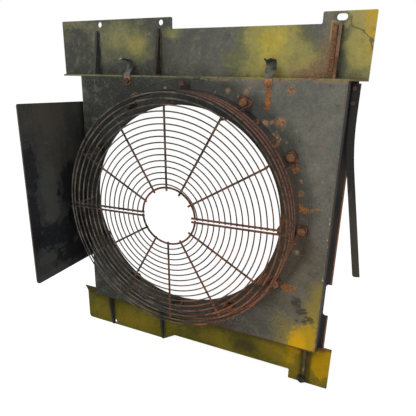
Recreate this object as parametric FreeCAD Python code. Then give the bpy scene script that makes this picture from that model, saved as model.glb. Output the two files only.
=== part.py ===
import FreeCAD, Part
import math
import os

# Radiator fan shroud of a heavy vehicle, bolted behind the fan.
# Millimetres. +X to the right and +Z up as seen from the fan side, +Y back to the radiator.
# The origin is on the fan axis, at the front rim of the fan ring.

V = FreeCAD.Vector
os.makedirs("parts", exist_ok=True)

# ---- driving dimensions ----

# folded sheet panel
PANEL_LEFT = 322.0            # fan axis to the panel's left edge
PANEL_RIGHT = 358.0           # fan axis to the panel's right edge
PANEL_ABOVE = 313.0           # fan axis to the panel's top edge
PANEL_BELOW = 337.0           # fan axis to the panel's bottom edge
SHEET = 3.0                   # panel sheet
BOX_DEPTH = 28.0              # front face to the plane that meets the radiator frame
WALL_SPLAY = 6.0              # how far each side wall leans out over its depth
FLANGE_WIDTH = 13.0           # side flange beyond the wall
TOP_WALL_DEPTH = 22.0         # folded top and bottom walls
BEND_RADIUS = 5.0             # outside radius of the front bends
NOTCH_ABOVE_BOTTOM = 94.0     # lower end of the cut-out in the right flange
NOTCH_HEIGHT = 86.0
NOTCH_CORNER = 7.0

# fan ring
RING_BORE = 252.6             # radius at the front rim
RING_BASE = 285.0             # radius at the panel's front face
RING_DEPTH = 40.0             # front rim to the panel's front face
RING_WALL = 2.5
RING_LIP = 5.0                # straight lip at the front rim
RING_FLANGE = 25.0            # width of the flange on the panel

# bolts of the guard
GUARD_BOLT_CIRCLE = 297.5     # radius
BOLT_SIZE = 10.0
BOLT_CLEARANCE = 0.5          # radial, in every bolt hole
BOLT_HEAD_FLATS = 17.0
BOLT_HEAD_HEIGHT = 6.5
BOLT_TAIL = 2.0               # thread showing past the nut
WASHER_DIAMETER = 25.0
WASHER_THICKNESS = 2.5
NUT_HEIGHT = 8.0
NUT_CLEARANCE = 0.1           # radial, between nut and thread

# wire guard, in two halves
GUARD_PROJECTION = 115.0      # panel's front face to the middle of the face rings
GUARD_TURN = 1.5              # degrees that the split is turned
RING_WIRE = 3.2
SPOKE_WIRE = 5.0
RING_FLATS = 36               # flats in a whole ring, few because there are so many rings
SPOKE_SIDES = 6               # flats around a spoke's wire
FACE_RINGS = 15               # on the flat of each half
FACE_RING_OUTER = 269.5       # radius of the largest of them
FACE_RING_INNER = 79.5        # radius of the smallest
HUB_RING = 69.5               # radius
SPOKE_INNER = 63.0            # radius where the spokes end
SPOKE_SIDE = 282.0            # radius of the spokes' side run
SPOKE_BEND = 10.0
SPOKES_PER_HALF = 7
SPLIT_GAP = 4.0               # clear gap between the two halves
SIDE_RINGS = 5
SIDE_RING_FIRST = 17.0        # behind the face rings
SIDE_RING_PITCH = 12.0
SPOKE_END_PAST_RING = 3.0
WELD_GAP = 0.25               # between welded parts whose faces are curved

# feet that hold the guard
UPPER_FOOT_ANGLES = (30.0, 62.0, 93.0, 124.0, 155.0)
LOWER_FOOT_ANGLES = (-4.0, -34.0, -64.0, -94.0, -124.0, -154.0)
FOOT_SHEET = 3.0
FOOT_WIDTH = 22.0             # radial
FOOT_BEFORE_BOLT = 12.0       # along the circle
FOOT_TO_LEG = 18.0            # bolt to the outside of the standing leg
LEG_WIDTH = 12.0

# brackets: angles along the top and the bottom
BRACKET_SHEET = 4.0
BRACKET_CHAMFER = 37.0        # along X, at both ends of the leg on the panel
BRACKET_RELIEF = 12.0         # the upright stops this far short of the left end
TOP_LEFT = 392.0
TOP_RIGHT = 395.0
TOP_LEFT_TAB = 450.0          # fan axis to the tab's edge
TOP_MIDDLE = 424.0
TOP_RIGHT_TAB = 447.0
TOP_LEFT_TAB_END = -60.0
TOP_RIGHT_TAB_START = 291.0
BOTTOM_LEFT = 372.0
BOTTOM_RIGHT = 397.0
BOTTOM_LEFT_TAB = 450.0
BOTTOM_MIDDLE = 428.0
BOTTOM_RIGHT_TAB = 456.0
BOTTOM_LEFT_TAB_END = -88.0
BOTTOM_LEFT_TAB_SLOPE = 36.0
BOTTOM_RIGHT_TAB_START = 295.0
TAB_CORNER = 3.0
BOTTOM_CORNER = 10.0
TAB_HOLE = 13.0
TAB_HOLE_IN = 11.0            # hole centre below the tab's edge
SLOT_LENGTH = 21.0
TOP_HOLES = (-270.0, -90.0)
TOP_SLOT = 329.0
TAB_BOLT = 331.0
BOTTOM_HOLE = -270.0

# gussets
GUSSET_SHEET = 6.0
GUSSET_HEIGHT = 107.0
GUSSET_SHORT = 88.0           # the bottom right one stops above the tab bolt
GUSSET_TIP = 5.0              # flat at the narrow end
TOP_GUSSETS = (-277.0, -94.0, 328.0)
BOTTOM_GUSSETS = (-274.0, -91.0, 334.0)

# hose hooks
HOOKS = (-174.0, 192.0)
HOOK_CURL_WIDTHS = (17.0, 24.0)   # across the curl, the right hook is spread
HOOK_FOOT_WIDTH = 16.0
HOOK_TIP_WIDTH = 11.0
HOOK_TIP_CORNER = 3.0
HOOK_SHEET = 2.5
HOOK_FOOT_BELOW_EDGE = 20.0   # foot's lower end below the panel's top edge
HOOK_BOLT_BELOW_EDGE = 10.5
HOOK_RISE = 42.0              # above the panel's top edge
HOOK_REACH = 28.0             # forward of the panel
HOOK_CURL = 12.0              # radius of the curl, in the middle of the strap
HOOK_KNEE = 6.0               # radius where the strap starts to lean back
HOOK_KNEE_ABOVE_BRACKET = 3.0
HOOK_LEAN = 45.0              # degrees that the strap leans back over the bracket
HOOK_BOLT_SIZE = 8.0
HOOK_HEAD_FLATS = 13.0
HOOK_HEAD_HEIGHT = 5.5
HOOK_NUT_HEIGHT = 6.5

# side baffle on the left
BAFFLE_TOP = 246.0
BAFFLE_BOTTOM = -216.0
BAFFLE_REACH = 200.0          # forward of the panel's front face
BAFFLE_SHEET = 3.0
BAFFLE_CORNER = 10.0
BAFFLE_BOLTS = 4
BAFFLE_BOLT_SIZE = 5.0
BAFFLE_BOLT_FROM_EDGE = 5.3   # bolt to the flange's outer edge
BAFFLE_BOLT_IN = 40.0         # first bolt from each end
BAFFLE_HEAD_FLATS = 8.0
BAFFLE_HEAD_HEIGHT = 3.5
BAFFLE_NUT_HEIGHT = 4.0

# rubber seal on the right
SEAL_WIDTH = 16.0
SEAL_THICKNESS = 5.0
SEAL_BELOW_TOP = 4.0          # upper end below the panel's top edge
SEAL_STRAIGHT = 69.0          # length that still lies on the flange
SEAL_BEND = 690.0
SEAL_TURN = 10.0              # degrees that the loose end stands off
SEAL_TAIL = 245.0
SEAL_CORNER = 6.0
SEAL_CLEARANCE = 2.0          # to the side wall
RIVETS = 2
RIVET_PITCH = 30.0
RIVET_FIRST = 10.0
RIVET_SHANK = 4.0
RIVET_HEAD = 9.0
RIVET_HEAD_HEIGHT = 2.0
RIVET_CLEARANCE = 0.1

# ---- places worked out from them ----

FACE_Y = RING_DEPTH                          # panel's front face
BACK_Y = FACE_Y + BOX_DEPTH                  # plane that meets the radiator frame
FLANGE_Y = BACK_Y - SHEET                    # front of the side flanges
UPRIGHT_Y = BACK_Y - BRACKET_SHEET           # front of the brackets' uprights
FACE_RING_Y = FACE_Y - GUARD_PROJECTION
SPOKE_Y = FACE_RING_Y + (RING_WIRE + SPOKE_WIRE) / 2
HUB_Y = SPOKE_Y + SPOKE_WIRE
SIDE_RING = SPOKE_SIDE + (SPOKE_WIRE + RING_WIRE) / 2
SIDE_RING_LAST_Y = FACE_RING_Y + SIDE_RING_FIRST + (SIDE_RINGS - 1) * SIDE_RING_PITCH
SPOKE_OFFSET = (SPLIT_GAP + SPOKE_WIRE) / 2
HOLE = BOLT_SIZE / 2 + BOLT_CLEARANCE        # radius of a guard bolt's hole
FOOT_Y = FACE_Y - SHEET - FOOT_SHEET         # front of the guard's feet
LEG_SHEET_TOP = SIDE_RING_LAST_Y - RING_WIRE
HOOK_HOLE = HOOK_BOLT_SIZE / 2 + BOLT_CLEARANCE
BAFFLE_HOLE = BAFFLE_BOLT_SIZE / 2 + BOLT_CLEARANCE
FLANGE_LEFT = -(PANEL_LEFT + WALL_SPLAY + FLANGE_WIDTH)
FLANGE_RIGHT = PANEL_RIGHT + WALL_SPLAY + FLANGE_WIDTH
BAFFLE_BOLT_X = FLANGE_LEFT + BAFFLE_BOLT_FROM_EDGE
SEAL_X = PANEL_RIGHT + WALL_SPLAY + SEAL_CLEARANCE + SEAL_WIDTH / 2
RIVET_X = FLANGE_RIGHT - FLANGE_WIDTH / 2
SEAL_TOP = PANEL_ABOVE - SEAL_BELOW_TOP


# ---- helpers ----

def rounded_face(corners, place):
    """A flat face from (a, b, radius) corners; place(a, b) gives each point in space."""
    edges = []
    ends = []
    count = len(corners)
    for i in range(count):
        a, b, radius = corners[i]
        pa, pb = corners[i - 1][:2]
        na, nb = corners[(i + 1) % count][:2]
        before = V(pa - a, pb - b, 0).normalize()
        after = V(na - a, nb - b, 0).normalize()
        if radius == 0:
            ends.append(((a, b), (a, b), None))
            continue
        half = before.getAngle(after) / 2
        setback = radius / math.tan(half)
        middle = (before + after).normalize()
        depth = radius / math.sin(half) - radius
        start = (a + before.x * setback, b + before.y * setback)
        end = (a + after.x * setback, b + after.y * setback)
        mid = (a + middle.x * depth, b + middle.y * depth)
        ends.append((start, end, mid))
    for i in range(count):
        start, end, mid = ends[i]
        if mid is not None:
            edges.append(Part.Arc(place(*start), place(*mid), place(*end)).toShape())
        following = ends[(i + 1) % count][0]
        if place(*end).distanceToPoint(place(*following)) > 1e-6:
            edges.append(Part.LineSegment(place(*end), place(*following)).toShape())
    return Part.Face(Part.Wire(edges))


def plate_xz(corners, y, thickness):
    """A plate facing front and back, from (x, z, radius) corners."""
    return rounded_face(corners, lambda x, z: V(x, y, z)).extrude(V(0, thickness, 0))


def plate_xy(corners, z, thickness):
    """A level plate, from (x, y, radius) corners."""
    return rounded_face(corners, lambda x, y: V(x, y, z)).extrude(V(0, 0, thickness))


def plate_yz(corners, x, thickness):
    """A plate facing left and right, from (y, z, radius) corners."""
    return rounded_face(corners, lambda y, z: V(x, y, z)).extrude(V(thickness, 0, 0))


def strip_corners(line, sheet):
    """Corners around a bent strip, from the (a, b, radius) corners of its middle line."""
    points = [V(a, b, 0) for a, b, radius in line]
    runs = [(points[i + 1] - points[i]).normalize() for i in range(len(points) - 1)]
    left, right = [], []
    for i, point in enumerate(points):
        before, after = runs[max(i - 1, 0)], runs[min(i, len(runs) - 1)]
        side = V(-before.y - after.y, before.x + after.x, 0) / (1 + before.dot(after))
        turn = math.copysign(sheet / 2, before.cross(after).z) if line[i][2] else 0
        for corners, offset in ((left, sheet / 2), (right, -sheet / 2)):
            corner = point + side * offset
            corners.append((corner.x, corner.y, line[i][2] - math.copysign(turn, turn * offset)))
    return left + right[::-1]


def rod(radius, length, x, y, z):
    """A round bar that runs back along Y."""
    return Part.makeCylinder(radius, length, V(x, y, z), V(0, 1, 0))


def hexagon(flats, length, x, y, z):
    """A hexagonal bar that runs back along Y."""
    reach = flats / math.sqrt(3)
    corners = []
    for i in range(6):
        turn = math.radians(60 * i)
        corners.append((x + reach * math.cos(turn), z + reach * math.sin(turn), 0))
    return plate_xz(corners, y, length)


def washer(bore, outer, thickness, x, y, z):
    return rod(outer, thickness, x, y, z).cut(rod(bore, thickness, x, y, z))


def bolt(size, flats, head, x, y, z, back):
    """A hexagon bolt whose head's underside is at y and whose thread ends at back."""
    return hexagon(flats, head, x, y - head, z).fuse(rod(size / 2, back - y, x, y, z)).removeSplitter()


def nut(size, flats, height, x, y, z):
    return hexagon(flats, height, x, y, z).cut(rod(size / 2 + NUT_CLEARANCE, height, x, y, z))


def on_circle(radius, degrees):
    """X and Z of a point around the fan axis."""
    turn = math.radians(degrees)
    return radius * math.cos(turn), radius * math.sin(turn)


def turned(shape, degrees):
    """The shape turned about the fan axis, anticlockwise as seen from the front."""
    copy = shape.copy()
    copy.rotate(V(0, 0, 0), V(0, -1, 0), degrees)
    return copy


def save(name, solids):
    """One STEP file per node; a node may hold several separate solids."""
    shape = solids[0] if len(solids) == 1 else Part.makeCompound(solids)
    shape.exportStep("parts/" + name + ".step")


# ---- panel and fan ring ----

def folded_profile():
    """The panel's section seen from above: face, leaning side walls and side flanges."""
    left, right = -PANEL_LEFT, PANEL_RIGHT
    inner_bend = BEND_RADIUS - SHEET
    return [
        (FLANGE_LEFT, BACK_Y, 0),
        (FLANGE_LEFT, FLANGE_Y, 0),
        (left - WALL_SPLAY, FLANGE_Y, inner_bend),
        (left, FACE_Y, BEND_RADIUS),
        (right, FACE_Y, BEND_RADIUS),
        (right + WALL_SPLAY, FLANGE_Y, inner_bend),
        (FLANGE_RIGHT, FLANGE_Y, 0),
        (FLANGE_RIGHT, BACK_Y, 0),
        (right + WALL_SPLAY - SHEET, BACK_Y, BEND_RADIUS),
        (right - SHEET, FACE_Y + SHEET, inner_bend),
        (left + SHEET, FACE_Y + SHEET, inner_bend),
        (left - WALL_SPLAY + SHEET, BACK_Y, BEND_RADIUS),
    ]


def folded_wall(z):
    """The top or bottom wall, between the leaning side walls."""
    lean = WALL_SPLAY * TOP_WALL_DEPTH / (BOX_DEPTH - SHEET)
    left, right = -PANEL_LEFT + SHEET / 2, PANEL_RIGHT - SHEET / 2
    corners = [
        (left, FACE_Y + SHEET / 2, 0),
        (right, FACE_Y + SHEET / 2, 0),
        (right + lean, FACE_Y + TOP_WALL_DEPTH, 0),
        (left - lean, FACE_Y + TOP_WALL_DEPTH, 0),
    ]
    return plate_xy(corners, z, SHEET)


def guard_bolt_places():
    return [on_circle(GUARD_BOLT_CIRCLE, a) for a in UPPER_FOOT_ANGLES + LOWER_FOOT_ANGLES]


def hook_bolt_places():
    return [(x, PANEL_ABOVE - HOOK_BOLT_BELOW_EDGE) for x in HOOKS]


def baffle_bolt_heights():
    step = (BAFFLE_TOP - BAFFLE_BOTTOM - 2 * BAFFLE_BOLT_IN) / (BAFFLE_BOLTS - 1)
    return [BAFFLE_BOTTOM + BAFFLE_BOLT_IN + i * step for i in range(BAFFLE_BOLTS)]


def rivet_heights():
    return [SEAL_TOP - RIVET_FIRST - i * RIVET_PITCH for i in range(RIVETS)]


def flange_notch():
    """The cut-out in the right flange, rounded where it meets the wall."""
    low = -PANEL_BELOW + NOTCH_ABOVE_BOTTOM
    high = low + NOTCH_HEIGHT
    inner = PANEL_RIGHT + WALL_SPLAY
    outer = FLANGE_RIGHT + SHEET
    corners = [(inner, low, NOTCH_CORNER), (outer, low, 0), (outer, high, 0), (inner, high, NOTCH_CORNER)]
    return plate_xz(corners, FLANGE_Y - SHEET, 3 * SHEET)


def panel():
    body = plate_xy(folded_profile(), -PANEL_BELOW, PANEL_ABOVE + PANEL_BELOW)
    body = body.fuse([folded_wall(PANEL_ABOVE - SHEET), folded_wall(-PANEL_BELOW)])
    cuts = [rod(RING_BASE, SHEET, 0, FACE_Y, 0), flange_notch()]
    cuts += [rod(HOLE, SHEET, x, FACE_Y, z) for x, z in guard_bolt_places()]
    cuts += [rod(HOOK_HOLE, SHEET, x, FACE_Y, z) for x, z in hook_bolt_places()]
    cuts += [rod(BAFFLE_HOLE, SHEET, BAFFLE_BOLT_X, FLANGE_Y, z) for z in baffle_bolt_heights()]
    rivet = RIVET_SHANK / 2 + RIVET_CLEARANCE
    cuts += [rod(rivet, SHEET, RIVET_X, FLANGE_Y, z) for z in rivet_heights()]
    return body.cut(cuts).removeSplitter()


def fan_ring():
    """A spun ring: flange on the panel, cone towards the fan, straight lip at the rim."""
    slope = math.hypot(RING_DEPTH - RING_LIP, RING_BASE - RING_BORE)
    radial = RING_WALL * slope / (RING_DEPTH - RING_LIP)
    corners = [
        (RING_BORE, 0, 0),
        (RING_BORE + RING_WALL, 0, 0),
        (RING_BORE + RING_WALL, RING_LIP - RING_WALL / 2, 0),
        (RING_BASE + radial - (RING_BASE - RING_BORE) * SHEET / (RING_DEPTH - RING_LIP), FACE_Y - SHEET, 0),
        (RING_BASE + RING_FLANGE, FACE_Y - SHEET, 0),
        (RING_BASE + RING_FLANGE, FACE_Y, 0),
        (RING_BASE, FACE_Y, 0),
        (RING_BORE, RING_LIP, 0),
    ]
    section = rounded_face(corners, lambda r, y: V(r, y, 0))
    ring = section.revolve(V(0, 0, 0), V(0, 1, 0), 360)
    return ring.cut([rod(HOLE, SHEET, x, FACE_Y - SHEET, z) for x, z in guard_bolt_places()])


# ---- brackets and gussets ----

def level_leg(left, right, z):
    """The leg that lies along the panel's edge, cut back at both front corners."""
    corners = [
        (left + BRACKET_CHAMFER, FACE_Y, TAB_CORNER),
        (right - BRACKET_CHAMFER, FACE_Y, TAB_CORNER),
        (right, BACK_Y, 0),
        (left, BACK_Y, 0),
    ]
    return plate_xy(corners, z, BRACKET_SHEET)


def tab_slot(x, z):
    """A slot that runs along X, through an upright."""
    half = (SLOT_LENGTH - TAB_HOLE) / 2
    ends = [rod(TAB_HOLE / 2, BRACKET_SHEET, x + side * half, UPRIGHT_Y, z) for side in (-1, 1)]
    middle = Part.makeBox(2 * half, BRACKET_SHEET, TAB_HOLE, V(x - half, UPRIGHT_Y, z - TAB_HOLE / 2))
    return ends[0].fuse([ends[1], middle])


def tab_hole(x, z):
    return rod(TAB_HOLE / 2, BRACKET_SHEET, x, UPRIGHT_Y, z)


def top_bracket():
    upright = [
        (-TOP_LEFT, PANEL_ABOVE, 0),
        (TOP_RIGHT, PANEL_ABOVE, 0),
        (TOP_RIGHT, TOP_RIGHT_TAB, TAB_CORNER),
        (TOP_RIGHT_TAB_START, TOP_RIGHT_TAB, TAB_CORNER),
        (TOP_RIGHT_TAB_START, TOP_MIDDLE, TAB_CORNER),
        (TOP_LEFT_TAB_END, TOP_MIDDLE, TAB_CORNER),
        (TOP_LEFT_TAB_END, TOP_LEFT_TAB, TAB_CORNER),
        (-TOP_LEFT, TOP_LEFT_TAB, TAB_CORNER),
    ]
    legs = plate_xz(upright, UPRIGHT_Y, BRACKET_SHEET)
    legs = legs.fuse(level_leg(-TOP_LEFT - BRACKET_RELIEF, TOP_RIGHT, PANEL_ABOVE))
    holes = [tab_hole(x, TOP_LEFT_TAB - TAB_HOLE_IN) for x in TOP_HOLES]
    holes.append(tab_slot(TOP_SLOT, TOP_RIGHT_TAB - TAB_HOLE_IN))
    return legs.cut(holes).removeSplitter()


def bottom_bracket():
    upright = [
        (-BOTTOM_LEFT, -PANEL_BELOW, 0),
        (-BOTTOM_LEFT, -BOTTOM_LEFT_TAB, BOTTOM_CORNER),
        (BOTTOM_LEFT_TAB_END, -BOTTOM_LEFT_TAB, TAB_CORNER),
        (BOTTOM_LEFT_TAB_END + BOTTOM_LEFT_TAB_SLOPE, -BOTTOM_MIDDLE, TAB_CORNER),
        (BOTTOM_RIGHT_TAB_START, -BOTTOM_MIDDLE, TAB_CORNER),
        (BOTTOM_RIGHT_TAB_START, -BOTTOM_RIGHT_TAB, TAB_CORNER),
        (BOTTOM_RIGHT, -BOTTOM_RIGHT_TAB, TAB_CORNER),
        (BOTTOM_RIGHT, -PANEL_BELOW, 0),
    ]
    legs = plate_xz(upright, UPRIGHT_Y, BRACKET_SHEET)
    level = level_leg(-BOTTOM_LEFT - BRACKET_RELIEF, BOTTOM_RIGHT, -PANEL_BELOW - BRACKET_SHEET)
    holes = [tab_hole(TAB_BOLT, -BOTTOM_RIGHT_TAB + TAB_HOLE_IN)]
    holes.append(tab_hole(BOTTOM_HOLE, -BOTTOM_LEFT_TAB + TAB_HOLE_IN))
    return legs.fuse(level).cut(holes).removeSplitter()


def gusset(x, height, up):
    """A triangle in the corner of a bracket; up is 1 on the top bracket, -1 on the bottom one."""
    base = PANEL_ABOVE + BRACKET_SHEET if up > 0 else -PANEL_BELOW - BRACKET_SHEET
    corners = [
        (FACE_Y, base, 0),
        (UPRIGHT_Y, base, 0),
        (UPRIGHT_Y, base + up * height, 0),
        (UPRIGHT_Y - GUSSET_TIP, base + up * height, 0),
    ]
    return plate_yz(corners, x - GUSSET_SHEET / 2, GUSSET_SHEET)


# ---- wire guard ----

def ring_disc(radius, y, thickness):
    """A disc in flats, one of them square to each spoke."""
    reach = radius / math.cos(math.pi / RING_FLATS)
    step = 360.0 / RING_FLATS
    corners = [on_circle(reach, (i + 0.5) * step) + (0,) for i in range(RING_FLATS)]
    return plate_xz(corners, y, thickness)


def half_ring(radius, y, wire):
    """Half a wire ring above the split, with square ends at the gap."""
    front = y - wire / 2
    ring = ring_disc(radius + wire / 2, front, wire).cut(ring_disc(radius - wire / 2, front, wire))
    reach = radius + 2 * wire
    return ring.common(Part.makeBox(2 * reach, wire, reach, V(-reach, front, SPLIT_GAP / 2)))


def spoke_end(centre, facing):
    """A spoke's cut end: a polygon whose flats are square to facing, with corners up and down."""
    reach = SPOKE_WIRE / 2 / math.cos(math.pi / SPOKE_SIDES)
    points = []
    for i in range(SPOKE_SIDES + 1):
        turn = 2 * math.pi * (i + 0.5) / SPOKE_SIDES
        points.append(centre + facing * (reach * math.cos(turn)) + V(0, 0, reach * math.sin(turn)))
    return Part.Face(Part.makePolygon(points))


def spoke(degrees, offset):
    """A wire from the hub across the face, bent back along the side of the guard."""
    x_bend = SPOKE_SIDE - SPOKE_BEND
    y_bend = SPOKE_Y + SPOKE_BEND
    face_end = spoke_end(V(x_bend, SPOKE_Y, offset), V(0, 1, 0))
    hub_end = face_end.copy()
    hub_end.translate(V(SPOKE_INNER - x_bend, 0, 0))
    across = hub_end.extrude(V(x_bend - SPOKE_INNER, 0, 0))
    bend = face_end.revolve(V(x_bend, y_bend, 0), V(0, 0, 1), 90)
    side_start = spoke_end(V(SPOKE_SIDE, y_bend, offset), V(1, 0, 0))
    back = side_start.extrude(V(0, SIDE_RING_LAST_Y + SPOKE_END_PAST_RING - y_bend, 0))
    return turned(across.fuse([bend, back]).removeSplitter(), degrees)


def face_rings(half_turn):
    step = (FACE_RING_OUTER - FACE_RING_INNER) / (FACE_RINGS - 1)
    rings = [half_ring(FACE_RING_INNER + i * step, FACE_RING_Y, RING_WIRE) for i in range(FACE_RINGS)]
    corner = (SPOKE_BEND + SPOKE_WIRE / 2 + WELD_GAP) / math.sqrt(2) + RING_WIRE / 2
    rings.append(half_ring(SPOKE_SIDE - SPOKE_BEND + corner, SPOKE_Y + SPOKE_BEND - corner, RING_WIRE))
    return [turned(ring, half_turn) for ring in rings]


def side_rings(half_turn):
    heights = [FACE_RING_Y + SIDE_RING_FIRST + i * SIDE_RING_PITCH for i in range(SIDE_RINGS)]
    return [turned(half_ring(SIDE_RING, y, RING_WIRE), half_turn) for y in heights]


def spokes(half_turn):
    wires = [spoke(half_turn, SPOKE_OFFSET), spoke(half_turn + 180, -SPOKE_OFFSET)]
    step = 180.0 / (SPOKES_PER_HALF - 1)
    wires += [spoke(half_turn + i * step, 0) for i in range(1, SPOKES_PER_HALF - 1)]
    return wires


def side_ring_reach(degrees):
    """Fan axis to the outside of a side ring, in this direction."""
    flat = 360.0 / RING_FLATS
    from_middle = (degrees - GUARD_TURN + flat / 2) % flat - flat / 2
    return (SIDE_RING + RING_WIRE / 2) / math.cos(math.radians(from_middle))


def guard_foot(degrees):
    """A flat foot under the bolt, with a standing leg that is welded to the side rings."""
    inner = GUARD_BOLT_CIRCLE - FOOT_WIDTH / 2
    outer = GUARD_BOLT_CIRCLE + FOOT_WIDTH / 2
    leg_turn = math.asin((FOOT_TO_LEG - FOOT_SHEET / 2) / SIDE_RING)
    leg_inner = side_ring_reach(degrees - math.degrees(leg_turn)) * math.cos(leg_turn) + WELD_GAP
    corners = [
        (inner, -FOOT_TO_LEG, 0),
        (outer, -FOOT_TO_LEG, 0),
        (outer, FOOT_BEFORE_BOLT, 0),
        (inner, FOOT_BEFORE_BOLT, 0),
    ]
    foot = plate_xz(corners, FOOT_Y, FOOT_SHEET)
    leg = plate_xy([
        (leg_inner, FOOT_Y + FOOT_SHEET, 0),
        (leg_inner, LEG_SHEET_TOP, 0),
        (leg_inner + LEG_WIDTH / 2, LEG_SHEET_TOP, 0),
        (leg_inner + LEG_WIDTH, FOOT_Y + FOOT_SHEET, 0),
    ], -FOOT_TO_LEG, FOOT_SHEET)
    hole = rod(HOLE, FOOT_SHEET, GUARD_BOLT_CIRCLE, FOOT_Y, 0)
    return turned(foot.fuse(leg).cut(hole).removeSplitter(), degrees)


# ---- hooks, baffle and seal ----

def hook_outline(x, width):
    """A hook as seen from the front: a foot with a round end, then a wider strap."""
    low = PANEL_ABOVE - HOOK_FOOT_BELOW_EDGE
    neck = PANEL_ABOVE + BRACKET_SHEET
    curl = PANEL_ABOVE + HOOK_RISE - 2 * HOOK_CURL
    foot, half = HOOK_FOOT_WIDTH / 2, width / 2
    high = PANEL_ABOVE + HOOK_RISE + HOOK_SHEET
    corners = [
        (x - foot, low, foot),
        (x + foot, low, foot),
        (x + foot, neck, 0),
        (x + half, curl, 0),
        (x + half, high, 0),
        (x - half, high, 0),
        (x - half, curl, 0),
        (x - foot, neck, 0),
    ]
    return plate_xz(corners, FACE_Y - HOOK_REACH, HOOK_REACH + BOX_DEPTH)


def hook_plan(x, width):
    """A hook as seen from above: it narrows to the tip."""
    tip, half = HOOK_TIP_WIDTH / 2, width / 2
    corners = [
        (x - tip, FACE_Y - HOOK_REACH, HOOK_TIP_CORNER),
        (x + tip, FACE_Y - HOOK_REACH, HOOK_TIP_CORNER),
        (x + half, FACE_Y - HOOK_SHEET, 0),
        (x + half, BACK_Y, 0),
        (x - half, BACK_Y, 0),
        (x - half, FACE_Y - HOOK_SHEET, 0),
    ]
    low = PANEL_ABOVE - HOOK_FOOT_BELOW_EDGE
    return plate_xy(corners, low, HOOK_FOOT_BELOW_EDGE + HOOK_RISE + HOOK_SHEET)


def hose_hook(x, width):
    """A strap on the panel's top edge that leans back over the bracket and curls forward."""
    low = PANEL_ABOVE - HOOK_FOOT_BELOW_EDGE
    top = PANEL_ABOVE + HOOK_RISE - HOOK_SHEET / 2
    y = FACE_Y - HOOK_SHEET / 2
    knee = PANEL_ABOVE + BRACKET_SHEET + HOOK_KNEE_ABOVE_BRACKET
    line = [
        (y, low, 0),
        (y, knee, HOOK_KNEE),
        (y + (top - knee) * math.tan(math.radians(HOOK_LEAN)), top, HOOK_CURL),
        (FACE_Y - HOOK_REACH, top, 0),
    ]
    strap = plate_yz(strip_corners(line, HOOK_SHEET), x - width / 2, width)
    height = PANEL_ABOVE - HOOK_BOLT_BELOW_EDGE
    hole = rod(HOOK_HOLE, HOOK_SHEET, x, FACE_Y - HOOK_SHEET, height)
    return strap.common(hook_outline(x, width)).common(hook_plan(x, width)).cut(hole)


def side_baffle():
    """A bent sheet: a return on the left flange and a wing that stands forward."""
    back = FLANGE_Y
    wing = plate_yz([
        (back, BAFFLE_BOTTOM, 0),
        (back, BAFFLE_TOP, 0),
        (FACE_Y - BAFFLE_REACH, BAFFLE_TOP, BAFFLE_CORNER / 2),
        (FACE_Y - BAFFLE_REACH, BAFFLE_BOTTOM, BAFFLE_CORNER),
    ], FLANGE_LEFT - BAFFLE_SHEET, BAFFLE_SHEET)
    width = FLANGE_WIDTH - SHEET
    height = BAFFLE_TOP - BAFFLE_BOTTOM
    lap = Part.makeBox(width, BAFFLE_SHEET, height, V(FLANGE_LEFT, back - BAFFLE_SHEET, BAFFLE_BOTTOM))
    holes = [rod(BAFFLE_HOLE, BAFFLE_SHEET, BAFFLE_BOLT_X, back - BAFFLE_SHEET, z)
             for z in baffle_bolt_heights()]
    return wing.fuse(lap).cut(holes).removeSplitter()


def seal_strip():
    """A flat rubber strip: straight on the flange, then a long bend and a loose straight end."""
    y = FLANGE_Y - SEAL_THICKNESS
    half = SEAL_WIDTH / 2
    turn = math.radians(SEAL_TURN)
    bend_z = SEAL_TOP - SEAL_STRAIGHT
    centre = V(SEAL_X + SEAL_BEND, y, bend_z)
    down = V(math.sin(turn), 0, -math.cos(turn))
    outward = V(math.cos(turn), 0, math.sin(turn))
    bend_end = centre - outward * SEAL_BEND
    tip = bend_end + down * SEAL_TAIL

    def edge_points(side):
        radius = SEAL_BEND - side * half
        middle = centre - V(math.cos(turn / 2), 0, math.sin(turn / 2)) * radius
        return [V(SEAL_X + side * half, y, SEAL_TOP), V(SEAL_X + side * half, y, bend_z),
                middle, bend_end + outward * (side * half), tip + outward * (side * half)]

    left, right = edge_points(-1), edge_points(1)
    corner = left[4] + outward * SEAL_CORNER
    above = left[4] - down * SEAL_CORNER
    centre_corner = above + outward * SEAL_CORNER
    mid_corner = centre_corner + (down - outward).normalize() * SEAL_CORNER
    edges = [
        Part.LineSegment(left[0], left[1]).toShape(),
        Part.Arc(left[1], left[2], left[3]).toShape(),
        Part.LineSegment(left[3], above).toShape(),
        Part.Arc(above, mid_corner, corner).toShape(),
        Part.LineSegment(corner, right[4]).toShape(),
        Part.LineSegment(right[4], right[3]).toShape(),
        Part.Arc(right[3], right[2], right[1]).toShape(),
        Part.LineSegment(right[1], right[0]).toShape(),
        Part.LineSegment(right[0], left[0]).toShape(),
    ]
    strip = Part.Face(Part.Wire(edges)).extrude(V(0, SEAL_THICKNESS, 0))
    rivet = RIVET_SHANK / 2 + RIVET_CLEARANCE
    return strip.cut([rod(rivet, SEAL_THICKNESS, RIVET_X, y, z) for z in rivet_heights()])


def rivet(z):
    """A rivet through the seal and the flange, with a flat head on each side."""
    front = FLANGE_Y - SEAL_THICKNESS
    shank = rod(RIVET_SHANK / 2, SEAL_THICKNESS + SHEET, RIVET_X, front, z)
    heads = [
        rod(RIVET_HEAD / 2, RIVET_HEAD_HEIGHT, RIVET_X, front - RIVET_HEAD_HEIGHT, z),
        rod(RIVET_HEAD / 2, RIVET_HEAD_HEIGHT, RIVET_X, BACK_Y, z),
    ]
    return shank.fuse(heads).removeSplitter()


# ---- build every piece ----

save("shroud_panel", [panel()])
save("fan_ring", [fan_ring()])

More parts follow.
